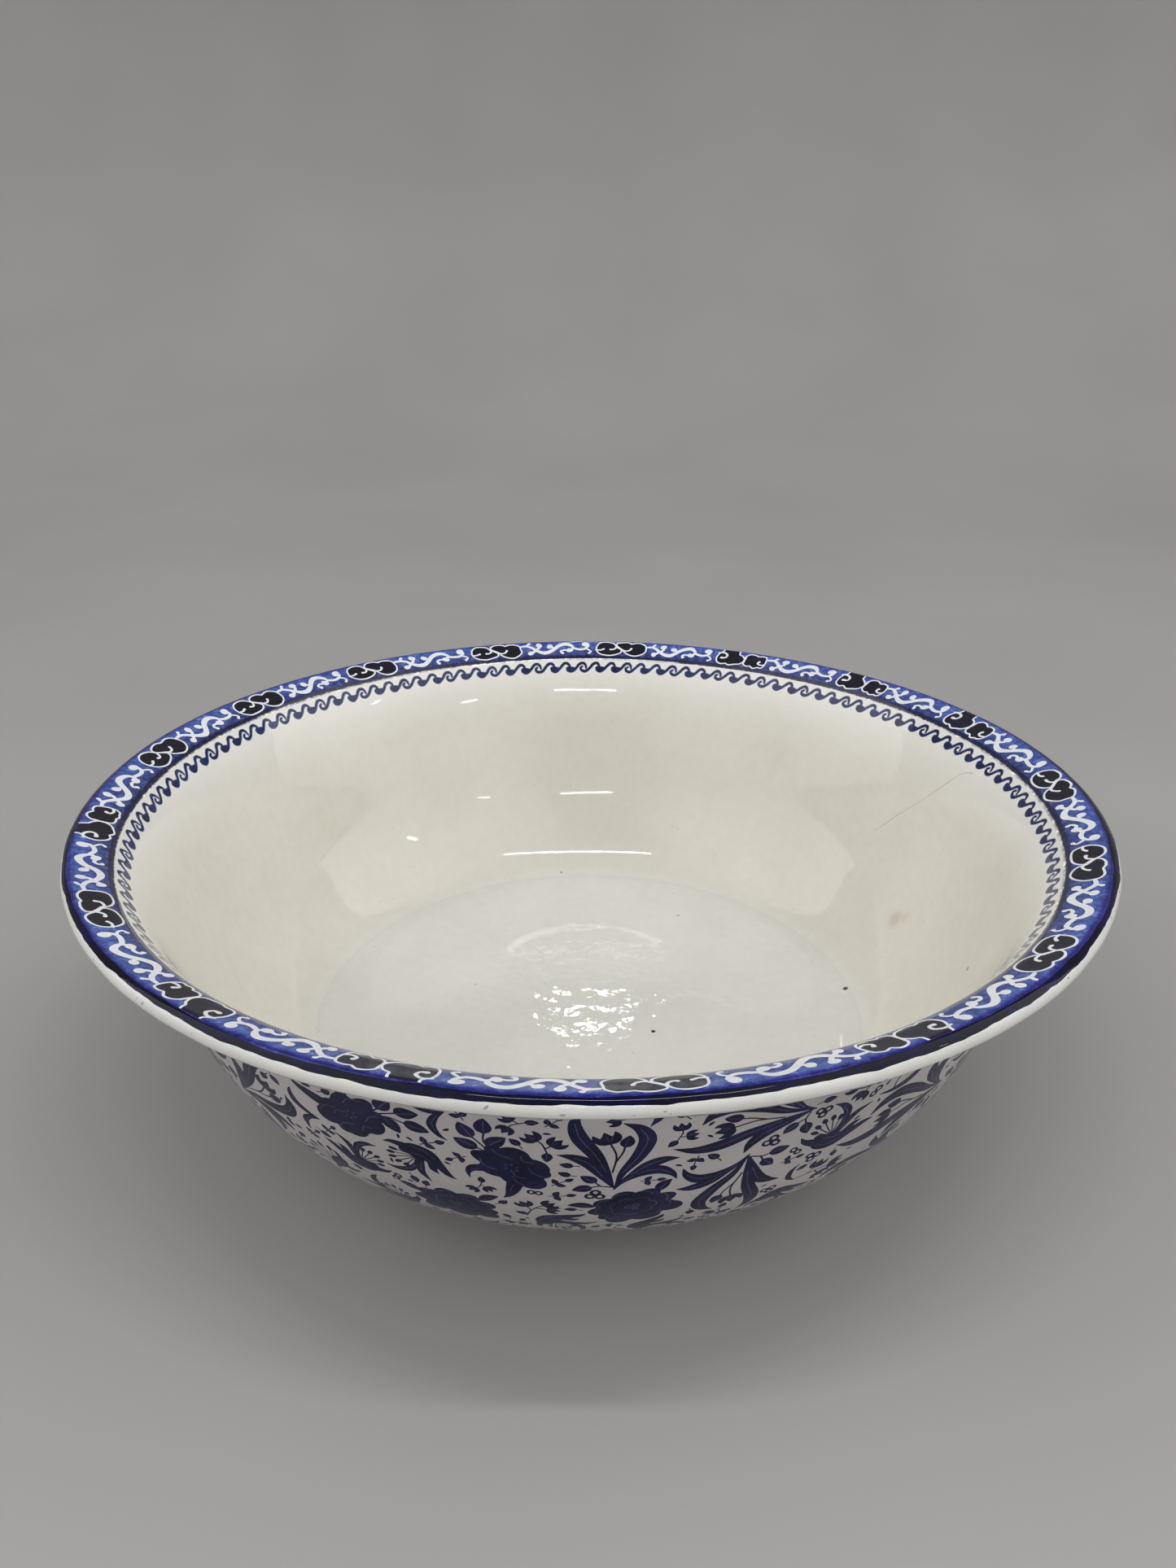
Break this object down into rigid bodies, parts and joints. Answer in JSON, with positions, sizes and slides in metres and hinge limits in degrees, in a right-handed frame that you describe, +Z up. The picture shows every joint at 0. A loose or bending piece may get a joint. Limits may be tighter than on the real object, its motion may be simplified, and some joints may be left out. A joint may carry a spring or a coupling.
{
  "type": "serving bowl",
  "caption": "Wide round footed earthenware bowl with a flared, rolled rim, a printed border and a floral outside; it holds food or water and stands on its foot ring.",
  "frame": {"origin": "centre of the circle the foot ring stands on, on the table", "axes": "+Z up along the bowl's own axis; X and Y lie in the table, and the side seen nearest in the reference view faces -Y"},
  "size_m": [0.3999, 0.4, 0.128],
  "materials": {
    "white_body": "gloss",
    "foot": "gloss, with a bare matt biscuit flat",
    "cream_glaze": "high gloss",
    "scroll_print": "high gloss",
    "border_print": "high gloss",
    "painted_line": "high gloss",
    "floral_print": "high gloss"
  },
  "bodies": {
    "root": {"bowl_body": "white_body", "foot_ring": "foot", "inner_glaze": "cream_glaze", "scroll_edge_print": "scroll_print", "rim_border_print": "border_print", "lip_line": "painted_line", "floral_print": "floral_print"}
  },
  "joints": []
}
